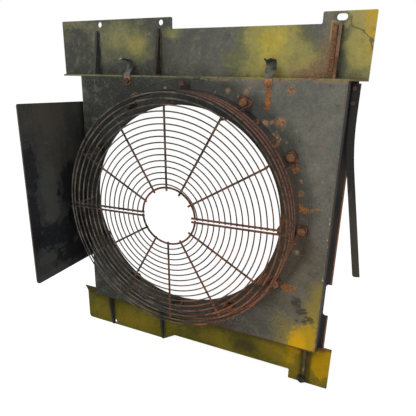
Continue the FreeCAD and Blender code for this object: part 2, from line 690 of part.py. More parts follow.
save("top_bracket", [top_bracket()])
save("bottom_bracket", [bottom_bracket()])
for place, x in zip(("left", "middle", "right"), TOP_GUSSETS):
    save("top_gusset_" + place, [gusset(x, GUSSET_HEIGHT, 1)])
bottom_heights = (GUSSET_HEIGHT, GUSSET_HEIGHT, GUSSET_SHORT)
for place, x, height in zip(("left", "middle", "right"), BOTTOM_GUSSETS, bottom_heights):
    save("bottom_gusset_" + place, [gusset(x, height, -1)])

for half, half_turn, foot_angles in (
    ("upper", GUARD_TURN, UPPER_FOOT_ANGLES),
    ("lower", GUARD_TURN + 180, LOWER_FOOT_ANGLES),
):
    save(half + "_guard_face_rings", face_rings(half_turn))
    save(half + "_guard_side_rings", side_rings(half_turn))
    save(half + "_guard_hub_ring", [turned(half_ring(HUB_RING, HUB_Y, SPOKE_WIRE), half_turn)])
    save(half + "_guard_spokes", spokes(half_turn))
    save(half + "_guard_feet", [guard_foot(angle) for angle in foot_angles])

def m10_set(x, y, z, nut_y):
    """A guard bolt with its washer and nut; y is the face that the washer lies on."""
    head_y = y - WASHER_THICKNESS
    end = nut_y + NUT_HEIGHT + BOLT_TAIL
    return (
        bolt(BOLT_SIZE, BOLT_HEAD_FLATS, BOLT_HEAD_HEIGHT, x, head_y, z, end),
        washer(HOLE, WASHER_DIAMETER / 2, WASHER_THICKNESS, x, head_y, z),
        nut(BOLT_SIZE, BOLT_HEAD_FLATS, NUT_HEIGHT, x, nut_y, z),
    )


nut_y = FACE_Y + SHEET
sets = [m10_set(x, FOOT_Y, z, nut_y) for x, z in guard_bolt_places()]
sets.append(m10_set(TAB_BOLT, UPRIGHT_Y, TAB_HOLE_IN - BOTTOM_RIGHT_TAB, BACK_Y))
save("m10_bolts", [bolt_set[0] for bolt_set in sets])
save("m10_washers", [bolt_set[1] for bolt_set in sets])
save("m10_nuts", [bolt_set[2] for bolt_set in sets])

for place, x, width in zip(("left", "right"), HOOKS, HOOK_CURL_WIDTHS):
    save(place + "_hose_hook", [hose_hook(x, width)])
hook_y = FACE_Y - HOOK_SHEET
hook_end = nut_y + HOOK_NUT_HEIGHT + BOLT_TAIL
places = hook_bolt_places()
save("hook_bolts", [
    bolt(HOOK_BOLT_SIZE, HOOK_HEAD_FLATS, HOOK_HEAD_HEIGHT, x, hook_y, z, hook_end) for x, z in places
])
save("hook_nuts", [nut(HOOK_BOLT_SIZE, HOOK_HEAD_FLATS, HOOK_NUT_HEIGHT, x, nut_y, z) for x, z in places])

save("side_baffle", [side_baffle()])
baffle_y = FLANGE_Y - BAFFLE_SHEET
baffle_end = BACK_Y + BAFFLE_NUT_HEIGHT + BOLT_TAIL
heights = baffle_bolt_heights()
save("baffle_bolts", [
    bolt(BAFFLE_BOLT_SIZE, BAFFLE_HEAD_FLATS, BAFFLE_HEAD_HEIGHT, BAFFLE_BOLT_X, baffle_y, z, baffle_end)
    for z in heights
])
save("baffle_nuts", [
    nut(BAFFLE_BOLT_SIZE, BAFFLE_HEAD_FLATS, BAFFLE_NUT_HEIGHT, BAFFLE_BOLT_X, BACK_Y, z) for z in heights
])

save("side_seal", [seal_strip()])
save("seal_rivets", [rivet(z) for z in rivet_heights()])
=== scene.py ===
import bpy
import math
import random
from mathutils import Matrix, Vector


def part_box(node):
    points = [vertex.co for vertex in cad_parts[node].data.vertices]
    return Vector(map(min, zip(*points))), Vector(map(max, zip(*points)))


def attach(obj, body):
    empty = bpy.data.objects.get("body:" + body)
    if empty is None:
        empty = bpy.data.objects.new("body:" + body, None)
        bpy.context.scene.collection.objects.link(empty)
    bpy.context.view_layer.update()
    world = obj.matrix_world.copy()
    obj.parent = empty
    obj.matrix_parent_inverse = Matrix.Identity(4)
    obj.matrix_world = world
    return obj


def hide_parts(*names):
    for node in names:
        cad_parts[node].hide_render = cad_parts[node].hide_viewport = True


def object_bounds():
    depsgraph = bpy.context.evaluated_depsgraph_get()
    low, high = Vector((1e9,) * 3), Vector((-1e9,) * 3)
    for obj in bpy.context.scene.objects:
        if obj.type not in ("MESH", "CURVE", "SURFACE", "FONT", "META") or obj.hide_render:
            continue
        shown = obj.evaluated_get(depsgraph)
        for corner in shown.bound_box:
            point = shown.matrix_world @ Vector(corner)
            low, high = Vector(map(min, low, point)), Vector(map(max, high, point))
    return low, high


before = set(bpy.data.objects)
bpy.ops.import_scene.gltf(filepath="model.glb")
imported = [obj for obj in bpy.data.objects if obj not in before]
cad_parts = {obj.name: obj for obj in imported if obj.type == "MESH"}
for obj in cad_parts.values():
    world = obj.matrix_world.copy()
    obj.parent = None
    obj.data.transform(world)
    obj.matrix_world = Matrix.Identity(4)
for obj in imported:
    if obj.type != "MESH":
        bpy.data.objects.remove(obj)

cad_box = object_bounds()


# ---- The sheet panel ----
# A shallow folded pan of sheet steel, brushed with grey paint that has weathered and rusted through
# in spots. Around the fan ring it is darkened by dirt and by painted shade. Yellow paint drifted
# onto its lower right corner.

def shade(text):
    """A colour written as six hexadecimal digits, as the shader wants it."""
    values = [int(text[i:i + 2], 16) / 255 for i in (0, 2, 4)]
    linear = [v / 12.92 if v <= 0.04045 else ((v + 0.055) / 1.055) ** 2.4 for v in values]
    return (*linear, 1.0)


class Signal:
    """A value or colour that varies over a surface; sums and products of signals add their nodes."""

    def __init__(self, tree, socket):
        self.tree = tree
        self.socket = socket

    def node(self, kind, settings, inputs, output=0):
        made = self.tree.nodes.new(kind)
        for name, value in settings.items():
            setattr(made, name, value)
        for name, value in inputs.items():
            if isinstance(value, Signal):
                self.tree.links.new(value.socket, made.inputs[name])
            else:
                made.inputs[name].default_value = value
        return Signal(self.tree, made.outputs[output])

    def math(self, operation, first, second=0.0):
        return self.node("ShaderNodeMath", {"operation": operation}, {0: first, 1: second})

    def __add__(self, other):
        return self.math("ADD", self, other)

    def __radd__(self, other):
        return self.math("ADD", other, self)

    def __sub__(self, other):
        return self.math("SUBTRACT", self, other)

    def __rsub__(self, other):
        return self.math("SUBTRACT", other, self)

    def __mul__(self, other):
        return self.math("MULTIPLY", self, other)

    def __rmul__(self, other):
        return self.math("MULTIPLY", other, self)

    def __or__(self, other):
        return self.math("MAXIMUM", self, other)

    def __abs__(self):
        return self.math("ABSOLUTE", self)

    def rise(self, start, end):
        """0 at start, 1 at end, and smooth between; start may be the larger."""
        settings = {"interpolation_type": "SMOOTHSTEP"}
        inputs = {"Value": self, "From Min": start, "From Max": end}
        return self.node("ShaderNodeMapRange", settings, inputs)

    def band(self, low, high, edge):
        """1 between two values, with soft edges."""
        return self.rise(low - edge, low + edge) * self.rise(high + edge, high - edge)

    def cover(self, base, coat):
        """The coat laid over the base where this mask is 1."""
        return self.node("ShaderNodeMix", {"data_type": "RGBA"}, {0: self, 6: base, 7: coat}, 2)

    def noise(self, scale, detail=4.0, roughness=0.55):
        inputs = {"Vector": self, "Scale": scale, "Detail": detail, "Roughness": roughness}
        return self.node("ShaderNodeTexNoise", {}, inputs)

    def cells(self, scale):
        return self.node("ShaderNodeTexVoronoi", {}, {"Vector": self, "Scale": scale})

    def vector(self, operation, inputs, output=0):
        return self.node("ShaderNodeVectorMath", {"operation": operation}, inputs, output)

    def stretched(self, x, y, z):
        return self.vector("MULTIPLY", {0: self, 1: (x, y, z)})

    def stirred(self, scale, reach):
        """The same place pushed about by noise, so that what is drawn there gets ragged edges."""
        inputs = {"Vector": self, "Scale": scale, "Detail": 5.0, "Roughness": 0.6}
        drift = self.node("ShaderNodeTexNoise", {}, inputs, 1)
        centred = self.vector("SUBTRACT", {0: drift, 1: (0.5, 0.5, 0.5)})
        return self.vector("MULTIPLY_ADD", {0: centred, 1: (reach, reach, reach), 2: self})

    def near(self, point):
        """Distance to a point."""
        return self.vector("DISTANCE", {0: self, 1: point}, 1)

    def from_axis(self):
        """Distance from the fan's axis."""
        return self.stretched(1.0, 0.0, 1.0).near((0.0, 0.0, 0.0))

    def axes(self):
        return [self.node("ShaderNodeSeparateXYZ", {}, {0: self}, i) for i in range(3)]

    def stains(self, blots):
        """Soft blots on a wall that faces front, each (x, z, half width, half height, strength)."""
        total = 0.0
        for x, z, wide, high, strength in blots:
            reach = self.stretched(1 / wide, 0.0, 1 / high).near((x / wide, 0.0, z / high))
            total = reach.rise(1.0, 0.1) * strength + total
        return total

    def spots(self, centres, grow=1.0):
        """A mask of blotches on a wall that faces front, each (x, z, radius)."""
        flat = self.stretched(1.0, 0.0, 1.0)
        mask = None
        for x, z, radius in centres:
            blot = flat.near((x, 0.0, z)).rise(radius * 1.15 * grow, radius * 0.85 * grow)
            mask = blot if mask is None else mask | blot
        return mask


def new_finish(name):
    """An empty material, and its Object coordinates."""
    material = bpy.data.materials.new(name)
    material.use_nodes = True
    tree = material.node_tree
    place = Signal(tree, tree.nodes.new("ShaderNodeTexCoord").outputs["Object"])
    return material, place


def apply_finish(material, colour, roughness, height, depth, shine=0.30):
    """Feeds the surface: its colour, its roughness, and a relief of this depth in metres."""
    shader = material.node_tree.nodes["Principled BSDF"]
    bump = colour.node("ShaderNodeBump", {}, {"Strength": 1.0, "Distance": depth, "Height": height})
    for name, value in (("Base Color", colour), ("Roughness", roughness), ("Normal", bump)):
        material.node_tree.links.new(value.socket, shader.inputs[name])
    shader.inputs["Specular IOR Level"].default_value = shine


def weathered(colour, place, dark, light, amount):
    """Breaks a colour up, from hand-wide clouds down to grit."""
    for scale, share in ((11.0, 1.0), (42.0, 0.8), (150.0, 0.9), (420.0, 1.0)):
        cloud = place.noise(scale, 4.0, 0.62)
        colour = (cloud.rise(0.52, 0.72) * (amount * share)).cover(colour, light)
        colour = (cloud.rise(0.48, 0.30) * (amount * share)).cover(colour, dark)
    return colour


def scratched(colour, place, light, amount):
    """Fine scratches, some level and some upright."""
    for stretch in ((9.0, 9.0, 260.0), (300.0, 300.0, 12.0), (60.0, 60.0, 420.0)):
        line = place.stretched(*stretch).noise(1.0, 3.0, 0.7)
        colour = (line.rise(0.66, 0.72) * amount).cover(colour, light)
    return colour


panel_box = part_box("shroud_panel")
panel_face = panel_box[0][1]
panel_top = panel_box[1][2]
panel_edge = 0.358
panel_left_edge = -0.322
ring_outside = 0.310

rust_marks = [
    (0.243, 0.291, 0.0075), (0.226, 0.224, 0.0095), (0.193, 0.220, 0.0065), (0.208, 0.224, 0.0030),
    (0.212, 0.196, 0.0030), (0.222, 0.192, 0.0035), (0.212, 0.180, 0.0040), (0.206, 0.163, 0.0050),
    (0.243, 0.180, 0.0025), (0.232, 0.207, 0.0022), (0.262, 0.206, 0.0020), (0.318, 0.180, 0.0025),
    (0.303, 0.030, 0.0045), (0.287, 0.068, 0.0050), (0.314, 0.030, 0.0030), (0.328, 0.034, 0.0030),
    (0.336, 0.036, 0.0020), (0.268, 0.012, 0.0030), (0.296, -0.030, 0.0030), (0.290, -0.076, 0.0045),
    (0.292, -0.186, 0.0030), (0.099, 0.288, 0.0045), (0.068, 0.283, 0.0020), (0.142, 0.286, 0.0050),
    (0.150, 0.293, 0.0025), (0.125, 0.275, 0.0020), (-0.152, 0.262, 0.0090), (0.346, 0.270, 0.0030),
    (-0.064, 0.289, 0.0030), (0.180, 0.200, 0.0025), (0.236, 0.160, 0.0020),
]

rust_patches = [
    (0.268, 0.122, 0.021, 0.019, 1.0), (0.283, 0.096, 0.008, 0.010, 0.7),
    (0.286, 0.070, 0.010, 0.008, 0.8), (0.284, 0.034, 0.023, 0.024, 1.0),
    (0.305, 0.028, 0.020, 0.010, 0.7), (0.326, 0.034, 0.018, 0.006, 0.7),
    (0.288, -0.036, 0.016, 0.012, 0.7), (0.274, -0.176, 0.026, 0.019, 1.0),
    (0.290, -0.172, 0.012, 0.010, 0.7), (0.222, 0.190, 0.026, 0.034, 0.55),
    (0.205, 0.222, 0.018, 0.010, 0.6),
]
rust_run_x = 0.1935
bolt_circle = 0.2975
bolt_stain = 0.0162


def on_bolt_circle(degrees):
    """Where a bolt of the guard goes through the panel, as (x, z)."""
    around = math.radians(degrees)
    return bolt_circle * math.cos(around), bolt_circle * math.sin(around)


bolt_rust = [(*on_bolt_circle(degrees), bolt_stain) for degrees in (30, 62, -4, -34)]


def grey_paint(place, front):
    """The panel's paint with its stains, drift and rust; front is 1 on what faces the fan."""
    x, _, z = place.axes()
    grain = place.noise(260.0, 5.0, 0.7)
    ragged = place.stirred(60.0, 0.014)
    crusty = place.stirred(150.0, 0.009)
    loose = place.stirred(16.0, 0.060)
    from_axis = loose.from_axis()
    # The paint grows darker towards the left, and is near black at the middle of the left side.
    colour = loose.axes()[0].rise(-0.20, 0.17).cover(shade("2b2d29"), shade("5b5a52"))
    colour = loose.stains([
        (0.30, 0.02, 0.10, 0.16, 0.45), (0.17, 0.31, 0.10, 0.05, 0.5), (0.29, 0.18, 0.09, 0.14, 0.4),
    ]).cover(colour, shade("716e62"))
    colour = loose.stains([(-0.30, 0.06, 0.10, 0.22, 0.9)]).cover(colour, shade("181714"))
    colour = loose.stains([
        (0.08, -0.31, 0.26, 0.11, 0.9), (0.24, -0.20, 0.09, 0.08, 0.6), (-0.15, -0.29, 0.16, 0.06, 0.5),
    ]).cover(colour, shade("3c352b"))
    colour = loose.stains([(0.30, -0.12, 0.13, 0.17, 0.9)]).cover(colour, shade("5e5545"))
    colour = weathered(colour, place, shade("262721"), shade("807d70"), 0.29)
    # Around the ring the paint is darker, grey-black above and brown below: partly painted shade and
    # partly dirt.
    near_ring = from_axis.rise(0.346, 0.300)
    colour = (near_ring * z.rise(-0.08, 0.08) * 0.66).cover(colour, shade("232522"))
    colour = (near_ring * z.rise(0.10, -0.06) * 0.70).cover(colour, shade("33281d"))
    colour = scratched(colour, place, shade("85867c"), 0.35)
    pale = ragged.noise(75.0, 3.0, 0.6)
    pale_patch = place.stains([(0.115, -0.300, 0.10, 0.03, 0.9), (0.20, -0.325, 0.08, 0.02, 0.5)])
    colour = (pale_patch * pale.rise(0.48, 0.60) * 0.55).cover(colour, shade("6d6c62"))
    colour = (pale.rise(0.70, 0.76) * x.rise(-0.1, 0.1) * 0.45).cover(colour, shade("97988c"))

    mist = place.noise(120.0, 5.0, 0.72)
    corner = x.rise(0.16, 0.26) * z.rise(-0.10, -0.18) * front
    drift = loose.stains([
        (0.300, -0.330, 0.085, 0.085, 0.55), (0.345, -0.290, 0.060, 0.110, 0.45),
        (0.352, -0.205, 0.050, 0.110, 0.75), (0.270, -0.265, 0.060, 0.060, 0.25),
    ]) + (grain - 0.5) * 1.3 + (mist - 0.5) * 1.2
    colour = (drift.rise(0.0, 0.75) * corner * 0.85).cover(colour, shade("85742f"))
    coat = ragged.stains([(0.320, -0.335, 0.056, 0.090, 1.2), (0.345, -0.280, 0.040, 0.090, 0.5)])
    coat = coat + (grain - 0.5) * 1.1 + (mist - 0.5) * 1.2
    colour = (coat.rise(0.22, 0.85) * corner * 0.92).cover(colour, shade("aa870c"))
    bright = ragged.stains([(0.313, -0.348, 0.038, 0.095, 1.20)]) + (mist - 0.5) * 1.2
    colour = (bright.rise(0.12, 0.95) * corner).cover(colour, shade("c49600"))
    scrape = ragged.stains([
        (0.300, -0.210, 0.020, 0.022, 1.0), (0.316, -0.232, 0.022, 0.018, 1.0),
        (0.334, -0.252, 0.022, 0.016, 0.9), (0.324, -0.262, 0.012, 0.014, 0.7),
        (0.306, -0.262, 0.008, 0.008, 0.8),
    ]) * place.stretched(1.0, 1.0, 2.2).noise(95.0, 5.0, 0.7).rise(0.34, 0.56)
    scrape = scrape.rise(0.05, 0.55)
    colour = (scrape * front * 0.80).cover(colour, shade("35322a"))

    pits = place.cells(85.0).rise(0.17, 0.08) * place.noise(22.0).rise(0.53, 0.62)
    pits = pits * from_axis.rise(0.43, 0.34) * x.rise(-0.05, 0.12)
    run = abs(crusty.axes()[0] - rust_run_x).rise(0.0070, 0.0045)
    run = run * z.rise(0.247, 0.253) * z.rise(0.300, 0.296)
    patches = (ragged.stains(rust_patches) + (place.noise(85.0, 5.0, 0.7) - 0.5) * 2.2).rise(0.52, 0.64)
    patches = patches * ragged.stains(rust_patches).rise(0.05, 0.20)
    rust = (crusty.spots(rust_marks) | run | patches | pits * 0.7) * front
    halo = ragged.spots(rust_marks, 1.6) * front
    colour = (halo * 0.30).cover(colour, shade("766d55"))
    colour = (ragged.spots(bolt_rust) * front * 0.75).cover(colour, shade("402a1e"))
    rust_colour = grain.rise(0.36, 0.62).cover(shade("5f3d2b"), shade("a17556"))
    deep = ragged.stains([
        (0.27, 0.11, 0.05, 0.06, 0.8), (0.29, 0.03, 0.05, 0.06, 1.2), (0.27, -0.17, 0.05, 0.05, 0.9),
        (0.193, 0.270, 0.02, 0.05, 1.0),
    ])
    rust_colour = deep.cover(rust_colour, grain.rise(0.35, 0.62).cover(shade("593519"), shade("9a6230")))
    colour = (rust * 0.92).cover(colour, rust_colour)
    specks = place.cells(52.0).rise(0.13, 0.05) * place.noise(30.0).rise(0.48, 0.56)
    colour = (specks * 0.8).cover(colour, shade("1f1f1c"))
    relief = grain * 0.30 + place.noise(60.0, 4.0, 0.7) * 0.30
    relief = relief + crusty.noise(140.0) * rust * 0.5 - pits * 0.4
    return colour, rust, relief


material, place = new_finish("weathered_grey_paint")
x, y, z = place.axes()
grain = place.noise(260.0, 5.0, 0.7)
patch = place.noise(14.0, 5.0, 0.6)
chip = place.noise(70.0, 4.0, 0.7)
colour, rust, relief = grey_paint(place, y.rise(panel_face + 0.0030, panel_face + 0.0015))
edge_line = x.rise(panel_edge - 0.006, panel_edge - 0.001) * y.rise(0.0440, 0.0425)
colour = (edge_line * chip.rise(0.44, 0.54) * 0.55).cover(colour, shade("5a4636"))
colour = (edge_line * chip.rise(0.60, 0.66) * z.rise(0.16, 0.10) * 0.9).cover(colour, shade("b5ae98"))
top_line = z.rise(panel_top - 0.009, panel_top - 0.002) * x.rise(-0.08, 0.08)
colour = (top_line * chip.rise(0.40, 0.54) * 0.7).cover(colour, shade("7c6a52"))
# The side walls are painted near black as painted shade, with a lighter band part way back that is a
# painted strip of light.
wall = x.rise(panel_edge - 0.0002, panel_edge + 0.0010) | x.rise(panel_left_edge, panel_left_edge - 0.001)
colour = (wall * 0.92).cover(colour, shade("1d1c1e"))
colour = (wall * y.band(0.0450, 0.0530, 0.0012) * 0.75).cover(colour, shade("4d4b50"))
flange_edge = (x + chip * 0.005).rise(0.3752, 0.3775)
colour = (flange_edge * 0.9).cover(colour, grain.rise(0.35, 0.65).cover(shade("6e3f26"), shade("96603c")))
from_axis = place.from_axis()
rear = y.rise(panel_face + 0.0028, panel_face + 0.0034) * from_axis.rise(0.25, 0.30)
colour = (rear * patch.rise(0.3, 0.7) * 0.3).cover(colour, shade("4a3d30"))
apply_finish(material, colour, 0.62 + grain * 0.2 + rust * 0.15, relief, 0.0012, 0.20)
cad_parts["shroud_panel"].material_slots[0].material = material
panel_finish = material


# ---- The fan ring ----
# A spun steel ring welded to the panel behind the guard. Its flange was painted with the panel;
# the cone's black paint is dull with road dust, browner and rusty at the lower right.

material, place = new_finish("dusty_black_paint")
x, _, z = place.axes()
patch = place.noise(18.0, 5.0, 0.6)
grain = place.noise(230.0, 5.0, 0.68)
streak = place.stretched(1.0, 0.3, 1.0).noise(46.0, 4.0, 0.62)
from_axis = place.from_axis()
colour = patch.rise(0.35, 0.68).cover(shade("1a1a18"), shade("2c2b27"))
colour = ((x - z * 0.7 + patch * 0.3).rise(0.16, 0.42) * 0.8).cover(colour, shade("423626"))
colour = (streak.rise(0.55, 0.74) * 0.5).cover(colour, shade("47423a"))
rust = (streak + grain * 0.35 + x * 0.38 - z * 0.18).rise(0.78, 0.92)
colour = (rust * 0.8).cover(colour, grain.rise(0.35, 0.65).cover(shade("4d2e1d"), shade("835234")))
flange = from_axis.rise(0.2868, 0.2882)
flange_paint = grey_paint(place, 1.0)[0]
colour = flange.cover(colour, flange_paint)
apply_finish(material, colour, 0.66 + grain * 0.2, grain * 0.5 + streak * 0.3 + rust * 0.4, 0.0010)
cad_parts["fan_ring"].material_slots[0].material = material


# ---- The seam sealer ----
# A bead of sealer brushed into the corner where the ring's flange meets the panel. It was painted
# over with the panel, so it has the same stains and rust.

def spun_ring(inner, outer, front, back, soften, steps):
    """A rectangle with soft corners, spun about the Y axis."""
    bpy.ops.object.select_all(action="DESELECT")
    bpy.ops.mesh.primitive_plane_add(size=1.0, location=((inner + outer) / 2, (front + back) / 2, 0))
    ring = bpy.context.active_object
    ring.scale = (outer - inner, back - front, 1)
    bpy.ops.object.transform_apply(location=True, rotation=True, scale=True)
    bpy.ops.object.mode_set(mode="EDIT")
    bpy.ops.mesh.select_all(action="SELECT")
    bpy.ops.mesh.bevel(offset=soften, segments=2, affect="VERTICES")
    bpy.ops.mesh.delete(type="ONLY_FACE")
    bpy.ops.mesh.select_all(action="SELECT")
    bpy.ops.mesh.spin(steps=steps, angle=2 * math.pi, center=(0, 0, 0), axis=(0, 1, 0))
    bpy.ops.mesh.select_all(action="SELECT")
    bpy.ops.mesh.remove_doubles(threshold=0.00001)
    bpy.ops.mesh.normals_make_consistent(inside=False)
    bpy.ops.object.mode_set(mode="OBJECT")
    return ring


def finished_piece(name, shapes, finish, node, smooth_degrees=40):
    """Joins what was modelled into one named piece, which may stand for a node of the frame."""
    bpy.ops.object.select_all(action="DESELECT")
    for shape in shapes:
        shape.select_set(True)
    bpy.context.view_layer.objects.active = shapes[0]
    if len(shapes) > 1:
        bpy.ops.object.join()
    piece = bpy.context.view_layer.objects.active
    bpy.ops.object.transform_apply(location=True, rotation=True, scale=True)
    piece.name = name
    piece.data.name = name
    piece.data.materials.clear()
    piece.data.materials.append(finish)
    bpy.ops.object.shade_smooth_by_angle(angle=math.radians(smooth_degrees))
    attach(piece, "root")
    if node:
        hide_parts(node)
    return piece


seam_inner = ring_outside - 0.0004
seam_outer = ring_outside + 0.0050
seam_front = panel_face - 0.0026
seam_back = panel_face - 0.0001
seam = spun_ring(seam_inner, seam_outer, seam_front, seam_back, 0.0012, 120)
finished_piece("ring_seam", [seam], panel_finish, None, 50)


# ---- The brackets ----
# Two steel angles carry the panel. They were sprayed yellow over grey by hand, so the yellow
# comes and goes. It is thickest on the right-hand tabs; bare rust shows beside the last gusset.

def sprayed(place, yellow, grain, coats):
    """Thin to thick yellow over grey; coats are the grey, the mist, the film and the full coat."""
    colour = yellow.rise(0.05, 0.42).cover(coats[0], coats[1])
    colour = (yellow + (grain - 0.5) * 0.35).rise(0.35, 0.75).cover(colour, coats[2])
    return (yellow + (grain - 0.5) * 0.25).rise(0.80, 1.15).cover(colour, coats[3])


material, place = new_finish("sprayed_top_bracket")
x, y, z = place.axes()
grain = place.noise(300.0, 4.0, 0.7)
patch = place.noise(13.0, 5.0, 0.62)
loose = place.stirred(20.0, 0.050)
ragged = place.stirred(70.0, 0.010)
loose_x, _, loose_z = loose.axes()
upright_front = y.rise(0.0620, 0.0636)
mist = place.noise(110.0, 5.0, 0.72)
yellow = loose.stains([
    (-0.380, 0.445, 0.120, 0.035, 0.40), (-0.200, 0.405, 0.150, 0.080, 0.50),
    (-0.150, 0.375, 0.060, 0.060, 0.35), (-0.055, 0.417, 0.045, 0.025, 0.50),
    (0.190, 0.412, 0.105, 0.070, 1.00), (0.170, 0.355, 0.130, 0.070, 0.65),
    (0.210, 0.335, 0.140, 0.050, 0.40), (0.275, 0.365, 0.070, 0.045, 0.45),
    (0.370, 0.395, 0.065, 0.140, 0.85), (0.335, 0.450, 0.060, 0.030, 0.40),
    (0.400, 0.350, 0.045, 0.080, 0.30),
]) + (patch - 0.5) * 0.45 + (mist - 0.5) * 0.35
grey = loose_x.rise(-0.20, 0.12).cover(shade("3a3c37"), shade("565650"))
grey = (loose_z.rise(0.345, 0.318) * 0.5).cover(grey, shade("33342e"))
coats = (grey, shade("5f6044"), shade("8c844a"), shade("a9993e"))
colour = sprayed(place, yellow, grain, coats)
gold = (loose_x * 0.4 + x * 0.6 + z * 0.35 + (mist - 0.5) * 0.06).rise(0.508, 0.540)
colour = (gold * 0.9).cover(colour, shade("b08f1a"))
# Dark smudges of dirt; the one low at the right is painted shade.
smudge_and_shade = ragged.stains([
    (-0.372, 0.414, 0.036, 0.018, 1.0), (-0.345, 0.424, 0.020, 0.010, 0.8),
    (-0.300, 0.345, 0.050, 0.025, 0.5), (0.368, 0.330, 0.040, 0.018, 0.7),
    (-0.385, 0.372, 0.030, 0.010, 0.7), (0.085, 0.405, 0.030, 0.012, 0.4),
])
colour = (smudge_and_shade * grain.rise(0.30, 0.60) * 0.85).cover(colour, shade("353831"))
colour = weathered(colour, place, shade("2c2d26"), shade("989074"), 0.20)
wash = loose.stains([
    (0.300, 0.325, 0.060, 0.060, 1.00), (0.255, 0.320, 0.085, 0.030, 0.75),
    (0.310, 0.380, 0.024, 0.085, 0.90),
]) * x.rise(0.3285, 0.3265)
wash = wash * (grain + patch * 0.4).rise(0.50, 0.78)
colour = (wash * 0.65).cover(colour, grain.rise(0.35, 0.65).cover(shade("6b4c36"), shade("8e6f52")))
bar_left = 0.3110
bar_right = 0.3262
rust_bar = x.band(bar_left, bar_right, 0.0008) * (z + ragged.axes()[0] * 0.12).rise(0.4650, 0.4630)
bar_colour = grain.rise(0.36, 0.64).cover(shade("563722"), shade("8a6342"))
# The bar's right edge is painted lighter, as a painted highlight along that edge.
bar_colour = (x.rise(0.3215, 0.3250) * 0.6).cover(bar_colour, shade("9a7a58"))
colour = (rust_bar * z.rise(0.318, 0.330) * upright_front * 0.9).cover(colour, bar_colour)
bar_rim = x.band(0.3088, 0.3290, 0.0006) * (z + ragged.axes()[0] * 0.12).rise(0.4675, 0.4660) - rust_bar
colour = (bar_rim * z.rise(0.385, 0.400) * upright_front * 0.6).cover(colour, shade("97935a"))
shadow_side = x.rise(0.3305, 0.3315) * (loose_x + z * 0.05).rise(0.372, 0.352)
colour = (shadow_side * z.rise(0.425, 0.405) * 0.72).cover(colour, shade("383b38"))
slot_x = 0.329
slot_z = 0.436
slot_wear = ragged.stretched(1.0, 0.0, 1.3).near((slot_x, 0.0, slot_z * 1.3))
colour = (slot_wear.rise(0.0185, 0.0150) * 0.50).cover(colour, shade("414542"))
crack_at = 0.3475 + z.rise(0.420, 0.408) * 0.027
crack_at = crack_at + z.rise(0.408, 0.392) * 0.015 + z.rise(0.392, 0.362) * 0.008
crack_at = abs(x - crack_at + (ragged.noise(60.0, 4.0, 0.65) - 0.5) * 0.012)
steep = z.band(0.4080, 0.4200, 0.002) * 0.0022
crack = (crack_at - steep).rise(0.0019, 0.0009) * z.band(0.362, 0.437, 0.003)
flake = ragged.stains([
    (0.389, 0.391, 0.009, 0.008, 1.0), (0.399, 0.372, 0.005, 0.016, 0.9),
]).rise(0.35, 0.5)
colour = ((crack | flake) * upright_front * 0.80).cover(colour, shade("57503a"))
specks = place.cells(60.0).rise(0.12, 0.05) * place.noise(26.0).rise(0.50, 0.58)
colour = (specks * 0.8).cover(colour, shade("29261a"))
foot_rust = z.rise(0.3225, 0.3172) * ragged.noise(60.0, 4.0).rise(0.42, 0.56) * loose_x.rise(-0.02, 0.16)
colour = (foot_rust * 0.6).cover(colour, shade("5d4030"))
lip = y.rise(0.0425, 0.0404) * ragged.noise(34.0, 5.0, 0.7).rise(0.34, 0.54)
colour = (lip * 0.75).cover(colour, loose_x.rise(-0.1, 0.3).cover(shade("6c7048"), shade("857c3f")))
apply_finish(material, colour, 0.66 + grain * 0.2, grain * 0.5 + patch * 0.3 - crack * 0.5, 0.0010, 0.18)
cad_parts["top_bracket"].material_slots[0].material = material

material, place = new_finish("sprayed_bottom_bracket")
x, _, z = place.axes()
grain = place.noise(300.0, 4.0, 0.7)
patch = place.noise(13.0, 5.0, 0.62)
loose = place.stirred(20.0, 0.050)
ragged = place.stirred(70.0, 0.010)
mist = place.noise(110.0, 5.0, 0.72)
yellow = loose.stains([
    (-0.220, -0.415, 0.240, 0.070, 0.30), (0.100, -0.405, 0.100, 0.050, 0.30),
    (0.270, -0.375, 0.100, 0.060, 0.52), (0.380, -0.380, 0.060, 0.100, 0.95),
    (0.300, -0.420, 0.050, 0.050, 0.40), (0.300, -0.355, 0.030, 0.030, 0.50),
]) + (patch - 0.5) * 0.45 + (mist - 0.5) * 0.5 + 0.42
coats = (shade("33321e"), shade("4c4a18"), shade("6f611c"), shade("a27e06"))
colour = sprayed(place, yellow, grain, coats)
shaded = z.rise(-0.372, -0.345) * x.rise(0.30, 0.22)
colour = (shaded * 0.6).cover(colour, shade("2d291e"))
colour = weathered(colour, place, shade("26220c"), shade("857022"), 0.16)
soot = loose.stains([(0.165, -0.398, 0.055, 0.035, 0.75), (0.02, -0.39, 0.05, 0.03, 0.3)])
colour = soot.cover(colour, shade("3a3124"))
brown = ragged.noise(34.0, 5.0, 0.7).rise(0.52, 0.62) * loose.stains([(0.36, -0.43, 0.09, 0.05, 1.0)])
colour = (brown * 0.75).cover(colour, shade("432f0c"))
tab_shadow = x.band(0.322, 0.351, 0.004) * z.rise(-0.335, -0.35)
colour = (tab_shadow * 0.6).cover(colour, shade("3c300e"))
seam = z.rise(-0.3445, -0.3412) * x.rise(-0.05, 0.05) * ragged.noise(70.0, 4.0).rise(0.35, 0.55)
colour = (seam * 0.75).cover(colour, shade("59352a"))
specks = place.cells(60.0).rise(0.13, 0.05) * place.noise(26.0).rise(0.47, 0.56)
colour = (specks * 0.8).cover(colour, shade("1f1a0c"))
apply_finish(material, colour, 0.70 + grain * 0.2, grain * 0.5 + patch * 0.3, 0.0010, 0.08)
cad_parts["bottom_bracket"].material_slots[0].material = material


# ---- The gussets ----
# Six triangles of thick plate are welded into the brackets, three along each, to stiffen them.
# Most are dark with road film, and the one at the top right has rusted through its paint.

